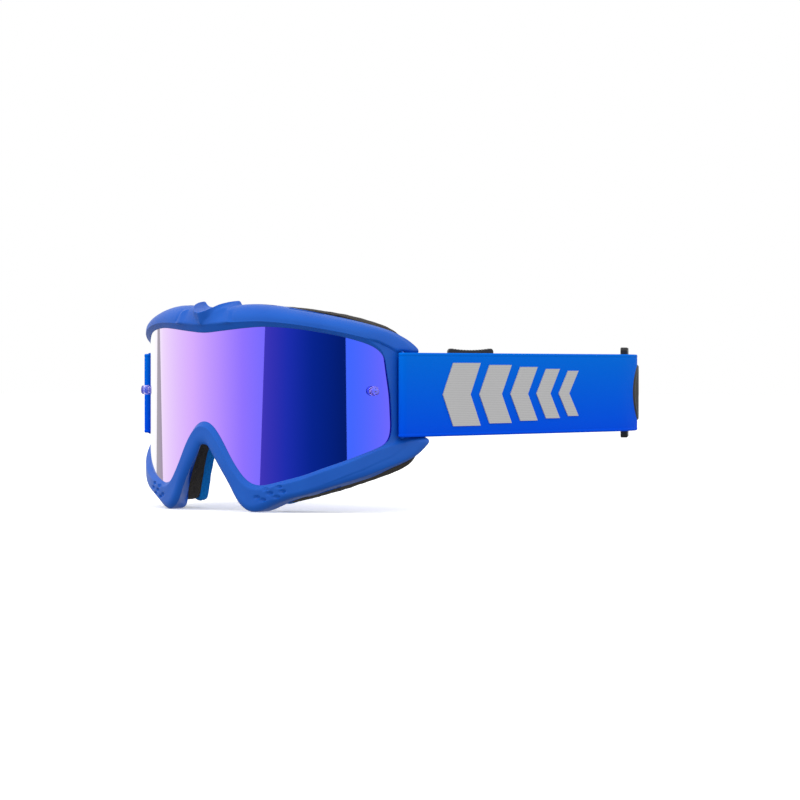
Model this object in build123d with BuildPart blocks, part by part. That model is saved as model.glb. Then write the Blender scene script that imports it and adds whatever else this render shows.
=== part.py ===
from build123d import *
import os
from math import asin, cos, degrees, hypot, radians, sin, sqrt

# Motocross goggles, ready to wear: a soft moulded frame, a cylindrical mirror lens with two
# tear-off posts, two layers of face foam, and an elastic strap with a sliding adjuster a side.
# +X is the wearer's left, +Y runs back from the face of the goggles, +Z is up.
# The origin is under the middle of the whole loop, level with the lowest point of the frame.

# ---- Driving dimensions, mm and degrees ----
overall_depth = 312.0  # front of the frame to the back of the strap
strap_level = 58.1  # middle of the strap above the lowest point of the frame

lens_radius = 95.0
lens_thickness = 1.2
lens_lip = 2.2  # how far the lens reaches into its groove
groove_clearance = 0.1

face_proud = 2.5  # the frame's face in front of the lens
rim_proud = 1.3  # the low rim beside the strap, in front of the lens
frame_back = 12.0  # back of the frame behind the front of the lens, at the middle
back_radius = 103.0
rim_lip = 2.0  # how far the frame reaches over the back of the lens
foam_base_depth = 10.0
foam_face_depth = 6.5

strap_width = 42.0
strap_thickness = 1.5
bar_radius = 0.8
bar_wrap_clearance = 0.1
bar_x = 90.2
bar_back = 48.9  # bar behind the front of the lens
bar_leg = (-4.7, 3.8)  # run of each leg of the bar, into the frame
bar_bend = 1.0
leg_gap = 0.1  # between the strap's edge and each leg of the bar
slot_play = 0.3  # space above and below the strap in the frame

loop_radius = 76.5  # outside of the strap round the back of the head
loop_back = 233.0  # centre of that bend behind the front of the lens
layer_gap = 0.2  # between the two layers of the strap

post_angle = 54.7
post_height = 2.0  # above the middle of the strap
neck_radius = 1.35
neck_length = 2.5
head_radius = 2.35
head_length = 4.0
rivet_radius = 2.4
rivet_thickness = 0.8
rivet_clearance = 0.1

adjuster_angle = 36.2  # place of the adjuster round the bend, from straight out sideways
adjuster_radius = 69.4
adjuster_length = 27.0
adjuster_height = 50.6
adjuster_thickness = 4.0
adjuster_hollow = 1.3  # how far the ends are scooped in
adjuster_slot = 4.5
adjuster_rib = 6.0  # the middle bar
tooth_count = 14
tooth_radius = 0.55

patch_angle = 37.6
patch_length = 40.0
patch_height = 31.0
patch_thickness = 0.8
print_thickness = 0.4

top_vents = [27.0, 50.0]  # how far out each vent is
bottom_vents = [46.0, 60.0]
top_vent_length = 18.0
bottom_vent_length = 11.0
vent_width = 4.0
vent_foam_thickness = 3.0
dimple_radius = 1.3
dimple_depth = 1.2

# ---- Derived places ----
lens_front = face_proud - overall_depth / 2
lens_centre = lens_front + lens_radius
face_radius = lens_radius + face_proud
back_centre = lens_front + frame_back + back_radius
bar_y = lens_front + bar_back
loop_centre = lens_front + loop_back
half_strap = strap_width / 2
wrap_inside = bar_radius + bar_wrap_clearance
wrap_outside = wrap_inside + strap_thickness

# The side of the strap is straight, and touches the wrap round the bar and the rear bend.
span = hypot(bar_x, loop_centre - bar_y)
toe_in = degrees(asin(bar_x / span) - asin((loop_radius - wrap_outside) / span))
outward = Vector(cos(radians(toe_in)), sin(radians(toe_in)), 0)
rearward = Vector(-sin(radians(toe_in)), cos(radians(toe_in)), 0)
bar_point = Vector(bar_x, bar_y, 0)
bend_point = Vector(0, loop_centre, 0)
side_length = (bend_point - bar_point).dot(rearward)

outline_plane = Plane.XZ.offset(-lens_centre)
outline_reach = lens_radius + 2 * face_proud
tall = 80.0  # half height of a cutter that passes the whole part

# Half outlines seen from the front, from top centre to bottom centre.
# Each corner has its x, its height above the middle of the strap, and its radius.
frame_edge = [
    (0, 47.3, 0), (12.5, 47.3, 2), (14.5, 45.3, 3), (27, 45.3, 40), (60, 39.4, 80), (80.5, 32.6, 20),
    (88.9, 22.5, 6), (91.4, 10, 20), (91.4, -22, 5), (88.3, -33.0, 6), (61.5, -46.6, 80), (44, -52, 30),
    (32.5, -58.1, 6), (25.5, -58.1, 8), (6.0, -24.4, 8), (0, -24.4, 0),
]
lens_edge = [
    (0, 31.0, 0), (8, 31.0, 80), (35, 34.9, 90), (79.0, 26.2, 9), (82.6, -6, 150),
    (83.2, -25.0, 9), (52, -41.0, 60), (28.5, -46.3, 5), (5.5, -13.2, 9), (0, -13.2, 0),
]
foam_base_edge = [
    (0, 45.0, 0), (14, 45.0, 60), (59, 40.4, 80), (76, 34, 12), (83.4, 22, 10), (84.3, -31, 5),
    (79, -37.6, 20), (63, -45.9, 60), (40, -54, 12), (31.5, -54, 4), (25, -40, 20), (18, -25.5, 20),
    (9, -21, 12), (0, -21, 0),
]
foam_face_edge = [
    (0, 44.0, 0), (14, 44.0, 60), (60, 38.8, 80), (74, 33, 12), (81, 22, 10), (82, -29, 8),
    (77, -36.5, 20), (62, -44.5, 60), (42, -52.2, 12), (36.5, -56.2, 3), (31.8, -56.2, 2.4),
    (25.5, -40, 20), (18.5, -26, 20), (9, -21.5, 12), (0, -21.5, 0),
]
foam_opening = [
    (0, 32, 0), (8, 32, 40), (32, 34, 60), (58, 29.5, 20), (72, 22, 8), (72, -24, 12),
    (52, -38.5, 30), (38, -44, 4), (32, -37.5, 12), (20, -14.5, 10), (9, -10, 14), (0, -10, 0),
]
nose_front = [(25, -66), (15.5, -41.5), (5.5, -24.6), (0, -24.6)]
nose_rear = [(30, -66), (25.5, -40), (17.5, -24), (0, -20)]


def height(z):
    """A height above the ground, from one above the middle of the strap."""
    return strap_level + z


def closed_outline(corners):
    """A face from a half outline and its mirror image."""
    points = [(x, height(z)) for x, z, radius in corners]
    with BuildSketch(mode=Mode.PRIVATE) as outline:
        with BuildLine():
            FilletPolyline(*points, radius=[radius for x, z, radius in corners[1:-1]])
            mirror(about=Plane.YZ)
        make_face()
    return outline.sketch


def on_lens(radius, angle, z=0.0):
    """A place round the lens, with its local X along the lens and its local Y into the goggles."""
    x = radius * sin(radians(angle))
    y = lens_centre - radius * cos(radians(angle))
    return Location((x, y, z), (0, 0, angle))


def vent_place(x):
    """The middle of a vent, half way from the back of the lens to the back of the frame."""
    lens_back = lens_centre - sqrt((lens_radius - lens_thickness) ** 2 - x**2)
    wall_back = back_centre - sqrt(back_radius**2 - x**2)
    return Location((x, (lens_back + wall_back) / 2, 0), (0, 0, degrees(asin(x / face_radius))))


def save(part, label):
    part.label = label
    export_step(part, f"parts/{label}.step")


os.makedirs("parts", exist_ok=True)

# ---- Lens: a cylindrical shell, with a hole for each post ----
def post_base(angle):
    """The plane of the lens's outside where a post stands."""
    return Plane(
        origin=on_lens(lens_radius, angle, height(post_height)).position,
        x_dir=(0, 0, 1),
        z_dir=(sin(radians(angle)), -cos(radians(angle)), 0),
    )


post_plane = post_base(post_angle)
with BuildPart() as lens:
    with BuildSketch(outline_plane):
        add(closed_outline(lens_edge))
        offset(amount=lens_lip)
    extrude(amount=outline_reach)
    with BuildSketch(Plane.XY):
        with Locations((0, lens_centre)):
            Circle(lens_radius)
            Circle(lens_radius - lens_thickness, mode=Mode.SUBTRACT)
    extrude(amount=2 * tall, mode=Mode.INTERSECT)
    with BuildSketch(post_plane, post_base(-post_angle)):
        Circle(neck_radius + 0.05)
    extrude(amount=2 * lens_thickness, both=True, mode=Mode.SUBTRACT)
save(lens.part, "lens")

# ---- Tear-off posts: a mushroom head outside, and a rivet flange behind the lens ----
rivet_back = lens_thickness + rivet_clearance + rivet_thickness
with BuildPart() as tearoff_post_left:
    with BuildSketch(post_plane.offset(-rivet_back)):
        Circle(rivet_radius)
    extrude(amount=rivet_thickness)
    with BuildSketch(post_plane.offset(-rivet_back)):
        Circle(neck_radius)
    extrude(amount=rivet_back + neck_length)
    with BuildSketch(post_plane.offset(neck_length)):
        Circle(head_radius)
    extrude(amount=head_length)
    head_rim = tearoff_post_left.faces().sort_by(Axis(post_plane.origin, post_plane.z_dir))[-1]
    fillet(head_rim.edges(), radius=1.0)
with BuildPart() as tearoff_post_right:
    mirror(tearoff_post_left.part, about=Plane.YZ)
save(tearoff_post_left.part, "tearoff_post_left")
save(tearoff_post_right.part, "tearoff_post_right")

# ---- Cutters for the frame ----
with BuildPart() as lens_groove:
    with BuildSketch(outline_plane):
        add(closed_outline(lens_edge))
        offset(amount=lens_lip + groove_clearance)
    extrude(amount=outline_reach)
    with BuildSketch(Plane.XY):
        with Locations((0, lens_centre)):
            Circle(lens_radius + groove_clearance)
            Circle(lens_radius - lens_thickness - groove_clearance, mode=Mode.SUBTRACT)
    extrude(amount=2 * tall, mode=Mode.INTERSECT)

with BuildPart() as front_opening:
    with BuildSketch(outline_plane):
        add(closed_outline(lens_edge))
    extrude(amount=outline_reach + face_proud)
    with BuildSketch(Plane.XY):
        with Locations((0, lens_centre)):
            Circle(lens_radius - lens_thickness / 2)
    extrude(amount=2 * tall, mode=Mode.SUBTRACT)

nose_start = Plane.XZ.offset(-lens_front + 2 * face_proud)
nose_end = Plane.XZ.offset(-lens_front - frame_back)
with BuildPart() as nose_channel:
    for plane, profile in ((nose_start, nose_front), (nose_end, nose_rear)):
        with BuildSketch(plane):
            with BuildLine():
                side = Polyline([(x, height(z)) for x, z in profile])
                far_side = mirror(side, about=Plane.YZ)
                Line(side @ 0, far_side @ 0)
            make_face()
    loft(ruled=True)

brow_start = (0, lens_front - face_proud, height(35.3))
with BuildPart() as brow_groove:
    with BuildSketch(Plane(origin=brow_start, x_dir=(1, 0, 0), z_dir=(0, 12.5, 9.4))):
        with BuildLine():
            Polyline((0, 0), (10, -14), (-10, -14), close=True)
        make_face()
    extrude(amount=40, both=True)

# ---- Frame: one soft moulding, with arms above and below each strap, that hold its bar ----
recess = [(86.5, 30), (86.5, 95), (105, 95), (105, 30)]
low_rim = [(80, 21.3), (105, 21.3), (105, -21.3), (86.5, -21.3), (79, -24.5)]
leg_height = half_strap + leg_gap + bar_radius


def strap_bar(radius):
    """The left bar, or a cutter for its way into the frame: two legs and the bar between them."""
    with BuildPart() as bar:
        with BuildLine() as line:
            leg_end = (bar_x + bar_leg[0], bar_y + bar_leg[1])
            corners = [(*leg_end, -leg_height), (bar_x, bar_y, -leg_height)]
            corners += [(bar_x, bar_y, leg_height), (*leg_end, leg_height)]
            FilletPolyline([(x, y, height(z)) for x, y, z in corners], radius=bar_bend)
        with BuildSketch(Plane(origin=line.line @ 0, z_dir=line.line % 0)):
            Circle(radius)
        sweep()
    return bar.part


leg_cutter = strap_bar(bar_radius + 0.05)
with BuildPart() as rim_cutter:
    with BuildSketch(outline_plane):
        with BuildLine():
            Polyline([(x, height(z)) for x, z in low_rim], close=True)
        make_face()
        mirror(about=Plane.YZ)
    extrude(amount=outline_reach)
    with BuildSketch(Plane.XY):
        with Locations((0, lens_centre)):
            Circle(lens_radius + rim_proud)
    extrude(amount=2 * tall, mode=Mode.SUBTRACT)
vent_places = [vent_place(side * x) for side in (-1, 1) for x in top_vents]
low_vent_places = [vent_place(side * x) for side in (-1, 1) for x in bottom_vents]
dimples = [
    (37.3, -46.2), (43.7, -45.1), (33.2, -50.2), (39.6, -48.1), (45.5, -46.8), (36.2, -51.4), (42.7, -49.8),
]
with BuildPart() as frame:
    with BuildSketch(outline_plane):
        add(closed_outline(frame_edge))
    extrude(amount=outline_reach)
    with BuildSketch(Plane.XY):
        with Locations((0, lens_centre)):
            Circle(face_radius)
        with Locations((0, back_centre)):
            Circle(back_radius, mode=Mode.SUBTRACT)
    extrude(amount=2 * tall, mode=Mode.INTERSECT)
    with BuildSketch(outline_plane):
        add(closed_outline(lens_edge))
        offset(amount=-rim_lip)
    extrude(amount=outline_reach + face_proud, mode=Mode.SUBTRACT)
    add(nose_channel.part, mode=Mode.SUBTRACT)
    add(lens_groove.part, mode=Mode.SUBTRACT)
    add(front_opening.part, mode=Mode.SUBTRACT)
    add(brow_groove.part, mode=Mode.SUBTRACT)
    with BuildSketch(Plane.XY.offset(height(-half_strap - slot_play))):
        with BuildLine():
            Polyline([(x, lens_front + y) for x, y in recess], close=True)
        make_face()
        mirror(about=Plane.YZ)
    extrude(amount=strap_width + 2 * slot_play, mode=Mode.SUBTRACT)
    add(rim_cutter.part, mode=Mode.SUBTRACT)
    add(leg_cutter, mode=Mode.SUBTRACT)
    add(mirror(leg_cutter, about=Plane.YZ, mode=Mode.PRIVATE), mode=Mode.SUBTRACT)
    with BuildSketch(Plane.XY.offset(height(25))):
        with Locations(*vent_places):
            SlotOverall(top_vent_length, vent_width)
    extrude(amount=30, mode=Mode.SUBTRACT)
    with BuildSketch(Plane.XY.offset(height(-65))):
        with Locations(*low_vent_places):
            SlotOverall(bottom_vent_length, vent_width)
    extrude(amount=32, mode=Mode.SUBTRACT)
    for x, z in dimples:
        y = lens_centre - sqrt(face_radius**2 - x**2)
        with Locations((x, y, height(z)), (-x, y, height(z))):
            Cylinder(dimple_radius, 2 * dimple_depth, rotation=(90, 0, 0), mode=Mode.SUBTRACT)
save(frame.part, "frame")

# ---- Vent foam: a plug of open-cell foam in each vent ----
with BuildPart() as vent_foam_top:
    with BuildSketch(Plane.XY.offset(height(35))):
        with Locations(*vent_places):
            SlotOverall(top_vent_length - 0.2, vent_width - 0.2)
    extrude(amount=vent_foam_thickness)
save(vent_foam_top.part, "vent_foam_top")
with BuildPart() as vent_foam_bottom:
    with BuildSketch(Plane.XY.offset(height(-47))):
        with Locations(*low_vent_places):
            SlotOverall(bottom_vent_length - 0.2, vent_width - 0.2)
    extrude(amount=vent_foam_thickness)
save(vent_foam_bottom.part, "vent_foam_bottom")


def face_layer(edge, front, depth):
    """One layer of the face foam: a ring round the eyes and over the nose."""
    with BuildPart() as layer:
        with BuildSketch(outline_plane):
            add(closed_outline(edge))
            add(closed_outline(foam_opening), mode=Mode.SUBTRACT)
        extrude(amount=outline_reach)
        with BuildSketch(Plane.XY):
            with Locations((0, back_centre + front)):
                Circle(back_radius)
            with Locations((0, back_centre + front + depth)):
                Circle(back_radius, mode=Mode.SUBTRACT)
        extrude(amount=2 * tall, mode=Mode.INTERSECT)
    return layer.part


foam_base = face_layer(foam_base_edge, 0, foam_base_depth)
foam_face = face_layer(foam_face_edge, foam_base_depth, foam_face_depth)
save(foam_base, "foam_base")
save(foam_face, "foam_face")

# ---- Strap bars: a thin bar a side, whose two legs run back into the frame's arms ----
with BuildPart() as strap_bar_left:
    add(strap_bar(bar_radius))
with BuildPart() as strap_bar_right:
    mirror(strap_bar_left.part, about=Plane.YZ)
save(strap_bar_left.part, "strap_bar_left")
save(strap_bar_right.part, "strap_bar_right")

# ---- Strap sides: round the bar, with the outer layer and the inner layer back to the bend ----
inner_outside = -wrap_inside
inner_inside = -wrap_outside
join_length = 40.0  # over this length the inner layer closes up to the outer layer
pressed_outside = wrap_outside - strap_thickness - layer_gap
pressed_inside = pressed_outside - strap_thickness


def along(distance, offset_out):
    """A plan point beside the straight side of the left strap."""
    return bar_point + rearward * distance + outward * offset_out


with BuildPart() as strap_left:
    with BuildSketch(Plane.XY.offset(height(-half_strap))):
        with BuildLine():
            Line(along(side_length, wrap_outside), along(0, wrap_outside))
            ThreePointArc(along(0, wrap_outside), along(-wrap_outside, 0), along(0, -wrap_outside))
            Spline(
                along(0, inner_inside), along(join_length, pressed_inside),
                tangents=[rearward, rearward],
            )
            Line(along(join_length, pressed_inside), along(side_length, pressed_inside))
            Line(along(side_length, pressed_inside), along(side_length, pressed_outside))
            Line(along(side_length, pressed_outside), along(join_length, pressed_outside))
            Spline(
                along(join_length, pressed_outside), along(0, inner_outside),
                tangents=[-rearward, -rearward],
            )
            ThreePointArc(along(0, -wrap_inside), along(-wrap_inside, 0), along(0, wrap_inside))
            Line(along(0, wrap_inside), along(side_length, wrap_inside))
            Line(along(side_length, wrap_inside), along(side_length, wrap_outside))
        make_face()
    extrude(amount=strap_width)
with BuildPart() as strap_right:
    mirror(strap_left.part, about=Plane.YZ)
save(strap_left.part, "strap_left")
save(strap_right.part, "strap_right")


def bend_strip(outer, inner, start, end):
    """A plan strip round the bend between two angles, from straight out sideways."""
    with BuildSketch(mode=Mode.PRIVATE) as strip:
        with BuildLine():
            outside = CenterArc((0, loop_centre), outer, start, end - start)
            inside = CenterArc((0, loop_centre), inner, start, end - start)
            Line(outside @ 0, inside @ 0)
            Line(outside @ 1, inside @ 1)
        make_face()
    return strip.sketch


# ---- Strap rear: the single layer round the back of the head ----
with BuildPart() as strap_rear:
    with BuildSketch(Plane.XY.offset(height(-half_strap))):
        add(bend_strip(loop_radius, loop_radius - strap_thickness, toe_in, 180 - toe_in))
    extrude(amount=strap_width)
save(strap_rear.part, "strap_rear")

# ---- Return legs: the end of the inner layer, from the straight side to the adjuster ----
leg_outer = loop_radius - strap_thickness - layer_gap
leg_inner = leg_outer - strap_thickness
loop_reach = 11.5  # angle from the adjuster's middle to the end of its sewn loop
with BuildPart() as return_leg_left:
    with BuildSketch(Plane.XY.offset(height(-half_strap))):
        add(bend_strip(leg_outer, leg_inner, toe_in + 0.1, adjuster_angle - loop_reach - 0.4))
    extrude(amount=strap_width)
with BuildPart() as return_leg_right:
    mirror(return_leg_left.part, about=Plane.YZ)
save(return_leg_left.part, "return_leg_left")
save(return_leg_right.part, "return_leg_right")

# ---- Adjusters: a slotted plate on the inside of the strap, with scooped, toothed ends ----
adjuster_out = Vector(cos(radians(adjuster_angle)), sin(radians(adjuster_angle)), 0)
adjuster_back = Vector(-sin(radians(adjuster_angle)), cos(radians(adjuster_angle)), 0)
adjuster_centre = Vector(0, loop_centre, strap_level) + adjuster_out * adjuster_radius
adjuster_plane = Plane(origin=adjuster_centre, x_dir=adjuster_back, z_dir=adjuster_out)
half_length = adjuster_length / 2
half_height = adjuster_height / 2
slot_middle = (adjuster_rib + adjuster_slot) / 2
end_drop = half_height - adjuster_hollow
tooth_pitch = (adjuster_length - 4) / (tooth_count - 1)
with BuildPart() as adjuster_left:
    with BuildSketch(adjuster_plane):
        with BuildLine():
            top = ThreePointArc((-half_length, half_height), (0, end_drop), (half_length, half_height))
            bottom = mirror(top, about=Plane.XZ)
            Line(top @ 0, bottom @ 0)
            Line(top @ 1, bottom @ 1)
        plate = make_face()
        fillet(plate.vertices(), radius=2.0)
        with Locations((-slot_middle, 0), (slot_middle, 0)):
            RectangleRounded(adjuster_slot, strap_width + 1.2, 1.0, mode=Mode.SUBTRACT)
    extrude(amount=adjuster_thickness / 2, both=True)
    rounded = adjuster_left.edges().filter_by(GeomType.CIRCLE, reverse=True)
    rounded = rounded.filter_by(Axis.Z).filter_by(lambda edge: edge.length > half_strap)
    fillet(rounded, radius=0.7)
    for index in range(tooth_count):
        tooth_x = (index - (tooth_count - 1) / 2) * tooth_pitch
        tooth_y = end_drop + adjuster_hollow * (tooth_x / half_length) ** 2 + 0.1
        with BuildSketch(adjuster_plane):
            with Locations((tooth_x, tooth_y), (tooth_x, -tooth_y)):
                Circle(tooth_radius)
        extrude(amount=adjuster_thickness, both=True, mode=Mode.SUBTRACT)
with BuildPart() as adjuster_right:
    mirror(adjuster_left.part, about=Plane.YZ)
save(adjuster_left.part, "adjuster_left")
save(adjuster_right.part, "adjuster_right")

# ---- Sewn loops: the strap's end, taken round the adjuster's middle bar and sewn to itself ----
loop_clearance = 0.15
loop_inner_x = adjuster_rib + 2 * loop_clearance
loop_inner_y = adjuster_thickness + 2 * loop_clearance
loop_outer_x = loop_inner_x + 2 * strap_thickness
loop_outer_y = loop_inner_y + 2 * strap_thickness
adjuster_plan = Location((adjuster_centre.X, adjuster_centre.Y, 0), (0, 0, adjuster_angle + 90))
tail_inside = leg_inner - layer_gap - 0.3  # sewn down onto the loop
tail_start = adjuster_angle - loop_reach
tail_end = adjuster_angle + 1.5
with BuildPart() as sewn_loop_left:
    with BuildSketch(Plane.XY.offset(height(-half_strap))):
        add(bend_strip(leg_outer - layer_gap, tail_inside, tail_start, tail_end))
        with Locations(adjuster_plan):
            RectangleRounded(loop_outer_x, loop_outer_y, 2.2)
            RectangleRounded(loop_inner_x, loop_inner_y, 0.8, mode=Mode.SUBTRACT)
    extrude(amount=strap_width)
with BuildPart() as sewn_loop_right:
    mirror(sewn_loop_left.part, about=Plane.YZ)
save(sewn_loop_left.part, "sewn_loop_left")
save(sewn_loop_right.part, "sewn_loop_right")

# ---- Rubber patches: an oval on the outside of the strap, over each adjuster ----
patch_out = (cos(radians(patch_angle)), sin(radians(patch_angle)), 0)
patch_plane = Plane(origin=(0, loop_centre, strap_level), x_dir=(0, 0, 1), z_dir=patch_out)
with BuildPart() as patch_left:
    with BuildSketch(Plane.XY):
        with Locations((0, loop_centre)):
            Circle(loop_radius + patch_thickness)
            Circle(loop_radius, mode=Mode.SUBTRACT)
    extrude(amount=2 * tall)
    with BuildSketch(patch_plane):
        Ellipse(patch_height / 2, patch_length / 2)
    extrude(amount=loop_radius + 5, mode=Mode.INTERSECT)
with BuildPart() as patch_right:
    mirror(patch_left.part, about=Plane.YZ)
save(patch_left.part, "patch_left")
save(patch_right.part, "patch_right")

# ---- Strap print: a row of raised chevrons on each side, larger towards the front ----
print_start = 30.0  # from the strap bar to the first chevron
chevrons = [(0, 32, 24), (32, 30, 20), (60, 28, 16), (84, 26, 13), (105, 24, 10)]
chevron_depth = 9.0
print_plane = Plane(
    origin=along(print_start, wrap_outside) + Vector(0, 0, strap_level), x_dir=rearward, z_dir=outward
)
with BuildPart() as strap_print_left:
    with BuildSketch(print_plane):
        for start, tall_side, width in chevrons:
            half = tall_side / 2
            with BuildLine():
                Polyline(
                    (start, 0), (start + chevron_depth, half), (start + chevron_depth + width, half),
                    (start + width, 0), (start + chevron_depth + width, -half),
                    (start + chevron_depth, -half), close=True,
                )
            make_face()
    extrude(amount=print_thickness)
with BuildPart() as strap_print_right:
    mirror(strap_print_left.part, about=Plane.YZ)
save(strap_print_left.part, "strap_print_left")
save(strap_print_right.part, "strap_print_right")
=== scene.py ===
"""Motocross goggles: the looks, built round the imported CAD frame.

Lengths in this script are millimetres unless a name ends in _M. Shapes of the goggles are drawn
with y measured back from the front of the lens and z up from the middle of the strap, as in the
CAD part; place() turns them into the frame's metres.
"""

import bpy
import numpy as np
from math import atan2, cos, hypot, pi, radians, sin, sqrt
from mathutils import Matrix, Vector


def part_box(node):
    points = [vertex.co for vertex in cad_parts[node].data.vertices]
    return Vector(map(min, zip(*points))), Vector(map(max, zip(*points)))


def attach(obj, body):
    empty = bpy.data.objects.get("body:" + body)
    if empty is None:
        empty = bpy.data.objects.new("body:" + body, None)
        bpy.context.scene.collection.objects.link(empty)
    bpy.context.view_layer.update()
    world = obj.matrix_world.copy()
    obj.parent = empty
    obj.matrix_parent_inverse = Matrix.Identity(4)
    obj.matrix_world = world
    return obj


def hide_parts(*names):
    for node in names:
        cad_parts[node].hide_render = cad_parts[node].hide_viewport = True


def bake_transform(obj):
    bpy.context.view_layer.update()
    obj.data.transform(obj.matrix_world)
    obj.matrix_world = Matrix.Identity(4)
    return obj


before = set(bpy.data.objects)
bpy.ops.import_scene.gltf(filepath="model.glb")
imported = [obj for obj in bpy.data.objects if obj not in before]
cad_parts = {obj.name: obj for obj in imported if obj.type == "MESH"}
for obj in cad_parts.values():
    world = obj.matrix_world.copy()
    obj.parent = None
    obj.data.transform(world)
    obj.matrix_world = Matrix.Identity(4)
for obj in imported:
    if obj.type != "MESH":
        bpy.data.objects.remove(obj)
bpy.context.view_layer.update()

# ---- Sizes shared with the CAD part ----
LENS_RADIUS = 95.0
LENS_THICKNESS = 1.2
FACE_RADIUS = 97.5
BACK_RADIUS = 103.0
BACK_AT_MIDDLE = 12.0
RIM_PROUD = 1.2
RECESS_X = 86.4
HALF_STRAP = 21.0
STRAP_THICKNESS = 1.5
LOOP_RADIUS = 76.5
LAYER_GAP = 0.2
FOAM_BASE_DEPTH = 10.0
FOAM_FACE_DEPTH = 6.5
ADJUSTER_ANGLE = 36.2
PATCH_ANGLE = 37.6

rear_low, rear_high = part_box("strap_rear")
bar_low, bar_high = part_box("strap_bar_left")
LENS_FRONT_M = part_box("lens")[0].y
LEVEL_M = (rear_low.z + rear_high.z) / 2
LOOP_CENTRE = (rear_high.y - LENS_FRONT_M) * 1000 - LOOP_RADIUS
BAR_RADIUS = 0.8
BAR_X = bar_high.x * 1000 - BAR_RADIUS
BAR_Y = (bar_low.y - LENS_FRONT_M) * 1000 + BAR_RADIUS


def place(points):
    """Rows of x, y, z in the drawing's millimetres as rows in the frame's metres."""
    return np.asarray(points, float) * 0.001 + (0.0, LENS_FRONT_M, LEVEL_M)


def smooth_step(value, low, high):
    t = np.clip((value - low) / (high - low), 0.0, 1.0)
    return t * t * (3 - 2 * t)


def front_arc(radius, x):
    """How far back a cylinder round the lens's axis is, at x."""
    return LENS_RADIUS - np.sqrt(np.maximum(radius**2 - np.square(x), 1.0))


def back_arc(x, depth=0.0):
    """How far back the frame's back is, at x, or a foam layer's back, depth further."""
    return BACK_AT_MIDDLE + depth + BACK_RADIUS - np.sqrt(BACK_RADIUS**2 - np.square(x))


def smoothed(rows, spread):
    """Closed rows of points, each averaged with its neighbours."""
    reach = int(3 * spread) + 1
    offsets = np.arange(-reach, reach + 1)
    weights = np.exp(-0.5 * (offsets / spread) ** 2)
    weights /= weights.sum()
    return sum(w * np.roll(rows, -k, axis=0) for k, w in zip(offsets, weights))


def closed_curve(half, step, spread):
    """Even, smoothed rows round a closed curve, from half of its stations; columns 0 and 2 are x."""
    half = np.asarray(half, float)
    mirrored = half[-2:0:-1].copy()
    mirrored[:, [0, 2]] *= -1
    rows = np.vstack([half, mirrored])
    count = len(rows)
    previous, following, second = (np.roll(rows, k, axis=0) for k in (1, -1, -2))
    samples = []
    for i in range(count):
        a, b, c, d = previous[i], rows[i], following[i], second[i]
        length = hypot(c[0] - b[0], c[1] - b[1])
        t = np.linspace(0, 1, max(int(length / step * 4), 8), endpoint=False)[:, None]
        samples.append(
            0.5 * (2 * b + (c - a) * t + (2 * a - 5 * b + 4 * c - d) * t**2
                   + (3 * b - a - 3 * c + d) * t**3)
        )
    dense = np.vstack(samples)
    ahead = np.roll(dense, -1, axis=0)
    run = np.concatenate([[0], np.cumsum(np.hypot(*(ahead - dense)[:, :2].T))])
    total = int(run[-1] / step / 2) * 2
    at = np.linspace(0, run[-1], total, endpoint=False)
    closed = np.vstack([dense, dense[:1]])
    even = np.column_stack([np.interp(at, run, column) for column in closed.T])
    return smoothed(even, spread / step)


def new_object(name, points_m, faces, material, body="goggles"):
    """A smooth-shaded mesh that rides on a body, or on none."""
    mesh = bpy.data.meshes.new(name)
    mesh.from_pydata([tuple(p) for p in points_m], [], faces)
    mesh.update()
    mesh.shade_smooth()
    mesh.set_sharp_from_angle(angle=radians(50))
    piece = bpy.data.objects.new(name, mesh)
    bpy.context.scene.collection.objects.link(piece)
    mesh.materials.append(material)
    if body:
        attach(piece, body)
    return piece


def grid_faces(rows, columns, close_rows=False, close_columns=False):
    """Quads of a grid of points, numbered row by row."""
    faces = []
    for i in range(rows if close_rows else rows - 1):
        for j in range(columns if close_columns else columns - 1):
            a, b = i * columns, (i + 1) % rows * columns
            k = (j + 1) % columns
            faces.append((a + j, a + k, b + k, b + j))
    return faces


# ---- Materials ----
def colour(red, green, blue):
    """A colour given as on a screen, from 0 to 255, as linear light."""
    parts = [v / 255 for v in (red, green, blue)]
    return (*[v / 12.92 if v <= 0.04045 else ((v + 0.055) / 1.055) ** 2.4 for v in parts], 1)


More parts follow.
